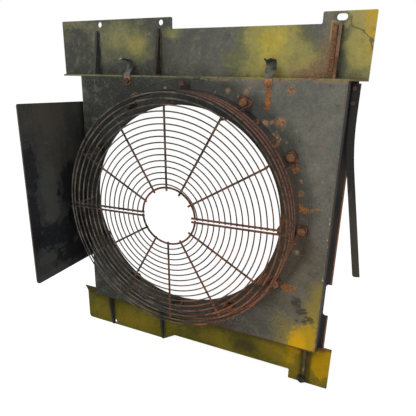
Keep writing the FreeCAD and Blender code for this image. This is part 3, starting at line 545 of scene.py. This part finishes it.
def film_finish(name, low, high, worn_tint, worn_share):
    """Plate under dark road film, worn in patches, with painted shade in black where it meets the
    upright.
    """
    material, place = new_finish(name)
    y = place.axes()[1]
    grain = place.noise(280.0, 4.0, 0.7)
    patch = place.noise(34.0, 4.0, 0.6)
    colour = patch.rise(0.35, 0.65).cover(shade(low), shade(high))
    colour = weathered(colour, place, shade("12110f"), shade("5c5a4c"), 0.16)
    # Painted shade: black along the edge that meets the upright.
    upright_shade = y.rise(0.0585, 0.0605)
    colour = (upright_shade * 0.8).cover(colour, shade("121210"))
    worn = patch.rise(0.48, 0.62) * worn_share
    colour = worn.cover(colour, shade(worn_tint))
    apply_finish(material, colour, 0.62 + grain * 0.2, grain, 0.0010)
    return material


gusset_finishes = {
    "top_gusset_left": film_finish("blue_grey_gusset", "23282a", "30363a", "41473f", 0.25),
    "top_gusset_middle": film_finish("brown_black_gusset", "1b1813", "29241d", "3c2c22", 0.35),
    "top_gusset_right": film_finish("rusted_gusset", "4a2f1e", "6a4b33", "775a40", 0.60),
    "bottom_gusset_left": film_finish("soot_gusset", "211f19", "2e2b22", "3a3620", 0.25),
    "bottom_gusset_middle": film_finish("soot_gusset_middle", "1f1b14", "2f271b", "4a3c1d", 0.30),
    "bottom_gusset_right": film_finish("oily_gusset", "3b3210", "574a18", "7e7440", 0.50),
}
for node, finish in gusset_finishes.items():
    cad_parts[node].material_slots[0].material = finish


# ---- The wire guard ----
# Two halves of round steel wire: concentric rings welded over spokes that bend back along the
# side. The paint has worn to grey brown, and the right side and the bottom have rusted. The rings
# on the side are painted near black as shade, rusting red-brown towards the right. Each half is
# bolted down through small sheet feet.

guard_turn = math.radians(1.5)
split_gap = 0.0040
ring_wire = 0.0032
spoke_wire = 0.0050
face_y = -0.075
face_count = 15
face_inner = 0.0795
face_outer = 0.2695
face_radii = [face_inner + i * (face_outer - face_inner) / (face_count - 1) for i in range(face_count)]
side_radius = 0.2861
side_pitch = 0.012
side_depths = [face_y + 0.017 + i * side_pitch for i in range(5)]
side_half = 0.003
spoke_y = face_y + (ring_wire + spoke_wire) / 2
hub_radius = 0.0695
hub_y = spoke_y + spoke_wire
spoke_start = 0.063
spoke_side = 0.282
spoke_end = side_depths[-1] + side_half
spoke_degrees = 30
spoke_bend = 0.010
spoke_offset = (split_gap + spoke_wire) / 2


def wire_finish(name, plain, lit, rust_bias):
    """Worn paint on wire, rusting towards the right and the bottom."""
    material, place = new_finish(name)
    x, _, z = place.axes()
    grain = place.noise(420.0, 4.0, 0.7)
    patch = place.noise(26.0, 5.0, 0.65)
    flecks = place.noise(130.0, 4.0, 0.7)
    colour = patch.rise(0.40, 0.62).cover(shade(plain), shade(lit))
    bare = x.rise(-0.12, 0.08).cover(shade("6b6a62"), shade("7b6f5c"))
    colour = (flecks.rise(0.56, 0.66) * 0.5).cover(colour, bare)
    colour = (flecks.rise(0.44, 0.34) * 0.6).cover(colour, shade("1d1a16"))
    amount = patch + x * 0.50 - z * 0.24 + (flecks - 0.5) * 0.6 + rust_bias
    rusty = grain.rise(0.35, 0.68).cover(shade("4a281a"), shade("8e5a3b"))
    fresh = grain.rise(0.35, 0.65).cover(shade("5f2f19"), shade("ab663b"))
    rusty = (z.rise(0.0, -0.15) * x.rise(0.0, 0.15) * 0.8).cover(rusty, fresh)
    colour = (amount.rise(0.56, 0.76) * 0.9).cover(colour, rusty)
    apply_finish(material, colour, 0.66 + grain * 0.22, grain * 0.6 + flecks * 0.6, 0.0007)
    return material


ring_finish = wire_finish("worn_ring_wire", "332e27", "5f594e", 0.02)
spoke_finish = wire_finish("worn_spoke_wire", "221f1b", "3c352d", 0.17)

side_finish, place = new_finish("side_wire_shade_and_rust")
x, y, z = place.axes()
grain = place.noise(420.0, 4.0, 0.7)
flecks = place.noise(130.0, 4.0, 0.7)
patch = place.noise(26.0, 5.0, 0.65)
# Near black as painted shade, where the inside of the guard is dark; rust red-brown towards the right and
# orange towards the bottom.
colour = patch.rise(0.40, 0.62).cover(shade("161513"), shade("26231f"))
red_brown = grain.rise(0.32, 0.70).cover(shade("4a2c22"), shade("82604e"))
orange = grain.rise(0.32, 0.70).cover(shade("5a301c"), shade("98592f"))
red_brown = (z.rise(0.02, -0.10) * 0.7).cover(red_brown, orange)
colour = ((x + patch * 0.10).rise(0.04, 0.16) * flecks.rise(0.30, 0.48)).cover(colour, red_brown)
# Every other side ring is painted darker still, as painted shade between the wires.
shaded_rings = y.band(side_depths[1] - side_half, side_depths[1] + side_half, 0.001)
shaded_rings = shaded_rings | y.band(side_depths[3] - side_half, side_depths[3] + side_half, 0.001)
colour = (shaded_rings * 0.72).cover(colour, shade("1f1512"))
apply_finish(side_finish, colour, 0.66 + grain * 0.22, grain * 0.6 + flecks * 0.6, 0.0007)


def half_ring(radius, depth, wire, half_turn):
    """A torus cut at the split, its ends closed, turned to the upper or the lower half."""
    bpy.ops.object.select_all(action="DESELECT")
    steps = 96 if radius > 0.15 else 64
    bpy.ops.mesh.primitive_torus_add(
        major_radius=radius, minor_radius=wire / 2, major_segments=steps, minor_segments=8,
        location=(0, depth, 0), rotation=(math.pi / 2, 0, 0))
    ring = bpy.context.active_object
    bpy.ops.object.transform_apply(location=True, rotation=True, scale=True)
    bpy.ops.object.mode_set(mode="EDIT")
    bpy.ops.mesh.select_all(action="SELECT")
    bpy.ops.mesh.bisect(
        plane_co=(0, 0, split_gap / 2), plane_no=(0, 0, 1), use_fill=True, clear_inner=True)
    bpy.ops.object.mode_set(mode="OBJECT")
    ring.data.transform(Matrix.Rotation(-half_turn, 4, "Y"))
    return ring


def half_spoke(turn, offset):
    """A wire drawn across the face from the hub, bent over the edge and back along the side."""
    bpy.ops.object.select_all(action="DESELECT")
    bpy.ops.mesh.primitive_circle_add(
        vertices=10, radius=spoke_wire / 2, fill_type="NGON",
        location=(spoke_start, spoke_y, offset), rotation=(0, math.pi / 2, 0))
    wire = bpy.context.active_object
    bpy.ops.object.transform_apply(location=True, rotation=True, scale=True)
    bpy.ops.object.mode_set(mode="EDIT")
    bpy.ops.mesh.select_all(action="SELECT")
    run = spoke_side - spoke_bend - spoke_start
    bpy.ops.mesh.extrude_region_move(TRANSFORM_OT_translate={"value": (run, 0, 0)})
    bpy.ops.mesh.spin(
        steps=6, angle=math.pi / 2, center=(spoke_side - spoke_bend, spoke_y + spoke_bend, offset),
        axis=(0, 0, 1))
    back = spoke_end - spoke_y - spoke_bend
    bpy.ops.mesh.extrude_region_move(TRANSFORM_OT_translate={"value": (0, back, 0)})
    bpy.ops.mesh.select_all(action="SELECT")
    bpy.ops.mesh.remove_doubles(threshold=0.00001)
    bpy.ops.mesh.normals_make_consistent(inside=False)
    bpy.ops.object.mode_set(mode="OBJECT")
    wire.data.transform(Matrix.Rotation(-turn, 4, "Y"))
    return wire


corner = (spoke_bend + spoke_wire / 2 + ring_wire / 2) / math.sqrt(2)
for half, half_turn in (("upper", guard_turn), ("lower", guard_turn + math.pi)):
    rings = [half_ring(radius, face_y, ring_wire, half_turn) for radius in face_radii]
    rings.append(half_ring(
        spoke_side - spoke_bend + corner, spoke_y + spoke_bend - corner, ring_wire, half_turn))
    finished_piece(half + "_face_rings", rings, ring_finish, half + "_guard_face_rings")
    rings = [half_ring(side_radius, depth, ring_wire, half_turn) for depth in side_depths]
    finished_piece(half + "_side_rings", rings, side_finish, half + "_guard_side_rings")
    hub = half_ring(hub_radius, hub_y, spoke_wire, half_turn)
    finished_piece(half + "_hub_ring", [hub], spoke_finish, half + "_guard_hub_ring")
    wires = [half_spoke(half_turn, spoke_offset), half_spoke(half_turn + math.pi, -spoke_offset)]
    wires += [half_spoke(half_turn + math.radians(spoke_degrees * i), 0.0) for i in range(1, 6)]
    finished_piece(half + "_spokes", wires, spoke_finish, half + "_guard_spokes")

material, place = new_finish("painted_guard_feet")
x, _, z = place.axes()
grain = place.noise(300.0, 4.0, 0.7)
patch = place.noise(40.0, 4.0, 0.6)
colour = (patch.rise(0.3, 0.7) * 0.35).cover(grey_paint(place, 1.0)[0], shade("1f1f1c"))
rust = (patch + x * 0.25 - z * 0.12).rise(0.56, 0.66) | place.spots(bolt_rust)
colour = (rust * 0.80).cover(colour, grain.rise(0.35, 0.65).cover(shade("4a2d1e"), shade("835638")))
apply_finish(material, colour, 0.66 + grain * 0.2, grain, 0.0008)
for half in ("upper", "lower"):
    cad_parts[half + "_guard_feet"].material_slots[0].material = material


# ---- The bolts, washers and nuts ----
# Hexagon bolts with chamfered heads on soft-edged washers. Their zinc has long gone and they are
# brown with rust, and the bolt in the lower right tab is black. The rivets are finished with them.

foot_front = 0.034
foot_bolt_end = 0.053
tab_front = 0.064
tab_bolt_end = 0.078
tab_bolt_x = 0.331
tab_bolt_z = -0.445
head_flats = 0.0170
head_height = 0.0065
shank_radius = 0.0050
washer_bore = 0.0055
washer_radius = 0.0125
washer_thick = 0.0025


def fastener_finish(name, low, high, glint):
    """Rust with light worn high spots that are also painted glints; grimy at the left and on the rivets,
    black on the tab's bolt.
    """
    material, place = new_finish(name)
    x = place.axes()[0]
    grain = place.noise(380.0, 5.0, 0.7)
    patch = place.noise(90.0, 4.0, 0.6)
    colour = grain.rise(0.34, 0.68).cover(shade(low), shade(high))
    # Worn high spots, painted light so that they also stand for glints.
    colour = (patch.rise(0.52, 0.66) * 0.6).cover(colour, shade(glint))
    colour = (patch.rise(0.44, 0.34) * 0.7).cover(colour, shade("2b1a13"))
    colour = ((x.rise(0.10, -0.05) | x.rise(0.352, 0.360)) * 0.80).cover(colour, shade("26241f"))
    tab_black = place.near((tab_bolt_x, 0.060, tab_bolt_z)).rise(0.040, 0.030)
    black = patch.rise(0.3, 0.7).cover(shade("141311"), shade("35332e"))
    colour = (tab_black * 0.95).cover(colour, black)
    apply_finish(material, colour, 0.60 + grain * 0.2, grain + patch * 0.5, 0.0008)
    return material


material = fastener_finish("rusted_fasteners", "52331f", "86603f", "9a7758")
washer_finish = fastener_finish("rusted_washers", "331c15", "633a29", "7b5138")
for node in ("m10_nuts", "hook_bolts", "hook_nuts", "baffle_bolts", "baffle_nuts", "seal_rivets"):
    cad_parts[node].material_slots[0].material = material

bolt_seats = []
for degrees in (30, 62, 93, 124, 155, -4, -34, -64, -94, -124, -154):
    across, up = on_bolt_circle(degrees)
    bolt_seats.append(((across, foot_front, up), foot_bolt_end))
bolt_seats.append(((tab_bolt_x, tab_front, tab_bolt_z), tab_bolt_end))


def chamfered(vertices, radius, front, back, chamfer, spin=0.0):
    """A bar along Y with its front and back edges cut off."""
    bpy.ops.object.select_all(action="DESELECT")
    bpy.ops.mesh.primitive_cylinder_add(
        vertices=vertices, radius=radius, depth=back - front, location=(0, (front + back) / 2, 0),
        rotation=(math.pi / 2, 0, 0))
    bar = bpy.context.active_object
    bpy.ops.object.transform_apply(location=True, rotation=True, scale=True)
    bar.data.transform(Matrix.Rotation(spin, 4, "Y"))
    bpy.ops.object.mode_set(mode="EDIT")
    bpy.ops.mesh.select_all(action="DESELECT")
    bpy.ops.object.mode_set(mode="OBJECT")
    for edge in bar.data.edges:
        ends = [bar.data.vertices[v].co for v in edge.vertices]
        edge.select = abs(ends[0].y - ends[1].y) < 1e-6
    bpy.ops.object.mode_set(mode="EDIT")
    bpy.ops.mesh.bevel(offset=chamfer, segments=2, profile=0.5)
    bpy.ops.object.mode_set(mode="OBJECT")
    return bar


def moved(part, seat):
    part.data.transform(Matrix.Translation(seat))
    return part


random.seed(7)
head_back = -washer_thick
head_front = head_back - head_height
bolts = []
washers = []
for seat, tail in bolt_seats:
    head = chamfered(6, head_flats / math.sqrt(3), head_front, head_back, 0.0009, random.uniform(0, 1))
    shank = chamfered(20, shank_radius, head_back - 0.0003, tail - seat[1], 0.0006)
    bolts += [moved(head, seat), moved(shank, seat)]
    washer = spun_ring(washer_bore, washer_radius, -washer_thick, 0.0, 0.0007, 28)
    washers.append(moved(washer, seat))
finished_piece("guard_bolts", bolts, material, "m10_bolts", 30)
finished_piece("guard_washers", washers, washer_finish, "m10_washers", 30)


# ---- The weld beads ----
# Short beads of weld run along both sides of each gusset, where it stands in its bracket. They
# have gone dull and brown.

material, place = new_finish("weld_bead")
grain = place.noise(320.0, 4.0, 0.7)
patch = place.noise(30.0, 4.0, 0.6)
colour = patch.rise(0.4, 0.6).cover(shade("2b2a20"), shade("4a4530"))
colour = (grain.rise(0.55, 0.68) * 0.6).cover(colour, shade("6d5a40"))
apply_finish(material, colour, 0.62 + grain * 0.2, grain, 0.0008)


def bead(start, end, size, lift):
    """A row of overlapping round drops from start to end, pushed towards lift."""
    start, end = Vector(start), Vector(end)
    count = max(2, round((end - start).length / (size * 0.95)))
    drops = []
    for i in range(count):
        at = start.lerp(end, (i + 0.5) / count) + Vector(lift) * size * 0.2
        bpy.ops.object.select_all(action="DESELECT")
        radius = size * random.uniform(0.85, 1.1)
        bpy.ops.mesh.primitive_ico_sphere_add(subdivisions=1, radius=radius, location=at)
        drops.append(bpy.context.active_object)
    return drops


gusset_half = 0.003
bead_size = 0.0024
bead_back = 0.0632
bead_inset = 0.004
bead_lift = 0.0010
beads = []
for node in gusset_finishes:
    low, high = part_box(node)
    middle = (low[0] + high[0]) / 2
    on_top_bracket = node.startswith("top")
    base = low[2] if on_top_bracket else high[2]
    point = high[2] if on_top_bracket else low[2]
    rise = 1 if on_top_bracket else -1
    front = low[1] + bead_inset
    base_z = base + rise * bead_lift
    point_z = point - rise * bead_inset
    for side in (-1, 1):
        edge = middle + side * (gusset_half + 0.0008)
        inner = (edge, bead_back, base_z)
        beads += bead((edge, front, base_z), inner, bead_size, (side, 0, rise))
        beads += bead(inner, (edge, bead_back, point_z), bead_size, (side, -1, 0))
finished_piece("gusset_welds", beads, material, None, 60)


# ---- The hose hooks ----
# Two straps of thin steel, each held to the panel's top edge by one bolt and curled forward.
# Their feet have rusted bright. The curls are painted near black as shade inside them, and the tips are
# pale at the front.

material, place = new_finish("worn_hook_steel")
x, y, z = place.axes()
grain = place.noise(300.0, 5.0, 0.7)
patch = place.noise(60.0, 4.0, 0.6)
colour = patch.rise(0.38, 0.62).cover(shade("3c3e36"), shade("62645a"))
# The curl is painted near black as shade inside it, darker towards the front.
curl_shade = z.rise(0.3380, 0.3480) * (0.45 + y.rise(0.034, 0.020) * 0.45)
colour = curl_shade.cover(colour, shade("1b1a17"))
rim = grain.rise(0.58, 0.68) * 0.4
colour = rim.cover(colour, shade("7d7c70"))
foot = (z + patch * 0.01).rise(0.3215, 0.3170)
left_foot = grain.rise(0.35, 0.65).cover(shade("7b5330"), shade("a98459"))
right_foot = grain.rise(0.35, 0.65).cover(shade("8b4f26"), shade("ba7c46"))
colour = foot.cover(colour, x.rise(-0.05, 0.05).cover(left_foot, right_foot))
hollow = place.stretched(1.0, 0.0, 1.0).near((-0.174, 0.0, 0.3025))
colour = (hollow.rise(0.0095, 0.0080) * x.rise(0.0, -0.1) * 0.6).cover(colour, shade("4a2a18"))
# The tip is pale at its front end.
tip = y.rise(0.0142, 0.0124) * grain.rise(0.40, 0.56)
colour = (tip * 0.80).cover(colour, shade("a9ac9f"))
apply_finish(material, colour, 0.60 + grain * 0.25, grain + patch * 0.6, 0.0008)
for side_name in ("left", "right"):
    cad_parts[side_name + "_hose_hook"].material_slots[0].material = material


# ---- The side baffle ----
# A steel sheet that stands well forward at the left, bolted to the flange by its folded return.
# It is painted black and streaked by dried mud and oil.

material, place = new_finish("streaked_black_sheet")
_, y, z = place.axes()
patch = place.noise(11.0, 5.0, 0.62)
grain = place.noise(300.0, 4.0, 0.7)
ragged = place.stirred(40.0, 0.020)
streaks = place.stretched(1.0, 1.0, 0.16).noise(30.0, 5.0, 0.6)
rising = z + (patch - 0.5) * 0.16
colour = rising.rise(-0.12, 0.20).cover(shade("26272a"), shade("343532"))
colour = (y.band(-0.13, -0.02, 0.03) * rising.rise(0.02, 0.20) * 0.5).cover(colour, shade("423e36"))
colour = (rising.rise(-0.17, -0.21) * y.rise(-0.03, -0.07) * 0.6).cover(colour, shade("383838"))
colour = weathered(colour, place, shade("0f1013"), shade("56554e"), 0.22)
colour = (streaks.rise(0.50, 0.68) * z.rise(-0.10, 0.08) * 0.5).cover(colour, shade("454138"))
oily = (ragged.noise(13.0, 5.0, 0.6) + z * -0.5).rise(0.58, 0.62) * z.band(-0.20, 0.10, 0.05)
colour = (oily * 0.90).cover(colour, shade("090b11"))
mud_and_oil = [
    (-0.085, 0.020, 0.034, 0.110, "3d3d39"), (-0.060, -0.100, 0.130, 0.040, "090b10"),
    (-0.030, -0.165, 0.070, 0.028, "0c0d11"), (-0.150, -0.030, 0.020, 0.060, "0e0f14"),
    (-0.142, 0.085, 0.026, 0.070, "101218"), (-0.010, 0.020, 0.040, 0.070, "131314"),
    (-0.112, -0.158, 0.034, 0.020, "383836"), (-0.090, -0.215, 0.070, 0.022, "3a3a39"),
    (-0.060, 0.215, 0.050, 0.050, "423e36"),
]
for across, up, half_wide, half_high, tint in mud_and_oil:
    blot = ragged.stretched(0.0, 1 / half_wide, 1 / half_high)
    blot = blot.near((0.0, across / half_wide, up / half_high))
    blot = (blot + (ragged.noise(28.0, 5.0, 0.7) - 0.5) * 2.0 + (grain - 0.5) * 0.6).rise(1.0, 0.75)
    colour = (blot * 0.88).cover(colour, shade(tint))
dust = place.noise(110.0, 5.0, 0.75).rise(0.62, 0.74)
colour = (dust * 0.30).cover(colour, shade("6d6a60"))
mud = ragged.noise(24.0, 5.0, 0.7).rise(0.60, 0.68) * z.rise(-0.05, -0.20) * y.rise(-0.11, -0.06)
colour = (mud * 0.6).cover(colour, shade("4a4438"))
colour = scratched(colour, place, shade("6a6a66"), 0.25)
lip = y.rise(-0.1575, -0.1592)
colour = (lip * 0.7).cover(colour, shade("4c4436"))
roughness = 0.50 + grain * 0.2 + dust * 0.2 - oily * 0.15
apply_finish(material, colour, roughness, grain * 0.4 + streaks * 0.3, 0.0009)
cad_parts["side_baffle"].material_slots[0].material = material


# ---- The side seal ----
# A flat rubber strip on the right flange, held by two rivets near its top. It is black there and
# dusty below, where it has come loose and stands away.

material, place = new_finish("dusty_rubber")
z = place.axes()[2]
patch = place.noise(22.0, 4.0, 0.6)
grain = place.noise(300.0, 4.0, 0.7)
streak = place.stretched(1.0, 1.0, 0.12).noise(90.0, 4.0, 0.6)
colour = grain.rise(0.35, 0.7).cover(shade("141413"), shade("24231f"))
colour = ((z + patch * 0.12).rise(0.19, 0.06) * 0.80).cover(colour, shade("39332a"))
colour = (streak.rise(0.52, 0.66) * z.rise(0.15, 0.05) * 0.5).cover(colour, shade("4f483b"))
colour = (grain.rise(0.66, 0.72) * 0.5).cover(colour, shade("756b5c"))
apply_finish(material, colour, 0.66 + grain * 0.25, grain + streak * 0.4, 0.0006)
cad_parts["side_seal"].material_slots[0].material = material


# ---- Floor, light and camera ----
# A white floor that keeps the object's soft shadow, an even sky and two soft lamps. Floor and sky
# look brighter to the camera than they are, and that extra adds no light to the object.

floor_glow = 1.30
glow_share = 0.62
sky_light = 0.65
sky_extra = 0.35
lens_length = 33.96
camera_place = (0.4283, -0.8381, 0.2999)
camera_heading = 22.95
camera_down = 17.5
camera_roll = 1.473

floor_z = cad_box[0][2]
bpy.ops.object.select_all(action="DESELECT")
bpy.ops.mesh.primitive_plane_add(size=60.0, location=(0, 0, floor_z))
floor = bpy.context.active_object
floor.name = "floor"
material = bpy.data.materials.new("white_floor")
material.use_nodes = True
tree = material.node_tree
surface = tree.nodes["Principled BSDF"]
surface.inputs["Base Color"].default_value = (0.90, 0.90, 0.90, 1.0)
surface.inputs["Roughness"].default_value = 0.95
surface.inputs["Specular IOR Level"].default_value = 0.0
seen = Signal(tree, tree.nodes.new("ShaderNodeLightPath").outputs["Is Camera Ray"])
glow = seen.node("ShaderNodeEmission", {}, {"Color": (1.0, 1.0, 1.0, 1.0), "Strength": floor_glow})
blend = seen.node("ShaderNodeMixShader", {}, {0: seen * glow_share})
tree.links.new(surface.outputs["BSDF"], blend.socket.node.inputs[1])
tree.links.new(glow.socket, blend.socket.node.inputs[2])
tree.links.new(blend.socket, tree.nodes["Material Output"].inputs["Surface"])
floor.data.materials.append(material)

world = bpy.data.worlds.new("studio")
bpy.context.scene.world = world
world.use_nodes = True
sky = world.node_tree.nodes["Background"]
tree = world.node_tree
seen = Signal(tree, tree.nodes.new("ShaderNodeLightPath").outputs["Is Camera Ray"])
strength = seen * sky_extra + sky_light
tree.links.new(strength.socket, sky.inputs["Strength"])
sky.inputs["Color"].default_value = (1.0, 1.0, 1.0, 1.0)


def lamp(name, place, aim, size, power):
    data = bpy.data.lights.new(name, "AREA")
    data.shape = "DISK"
    data.size = size
    data.energy = power
    light = bpy.data.objects.new(name, data)
    bpy.context.collection.objects.link(light)
    light.location = place
    light.rotation_euler = (Vector(aim) - Vector(place)).to_track_quat("-Z", "Y").to_euler()


lamp("key", (-0.9, -1.9, 2.3), (0.0, 0.0, 0.0), 1.6, 42.0)
lamp("fill", (2.2, -1.6, 0.8), (0.0, 0.0, 0.0), 1.8, 14.0)

camera = bpy.data.objects.new("camera", bpy.data.cameras.new("camera"))
bpy.context.collection.objects.link(camera)
camera.data.sensor_width = 36.0
camera.data.lens = lens_length
heading = Matrix.Rotation(math.radians(camera_heading), 4, "Z")
tilt = Matrix.Rotation(math.radians(90.0 - camera_down), 4, "X")
roll = Matrix.Rotation(math.radians(camera_roll), 4, "Z")
camera.matrix_world = Matrix.Translation(camera_place) @ heading @ tilt @ roll
bpy.context.scene.camera = camera
bpy.context.scene.view_settings.view_transform = "Standard"
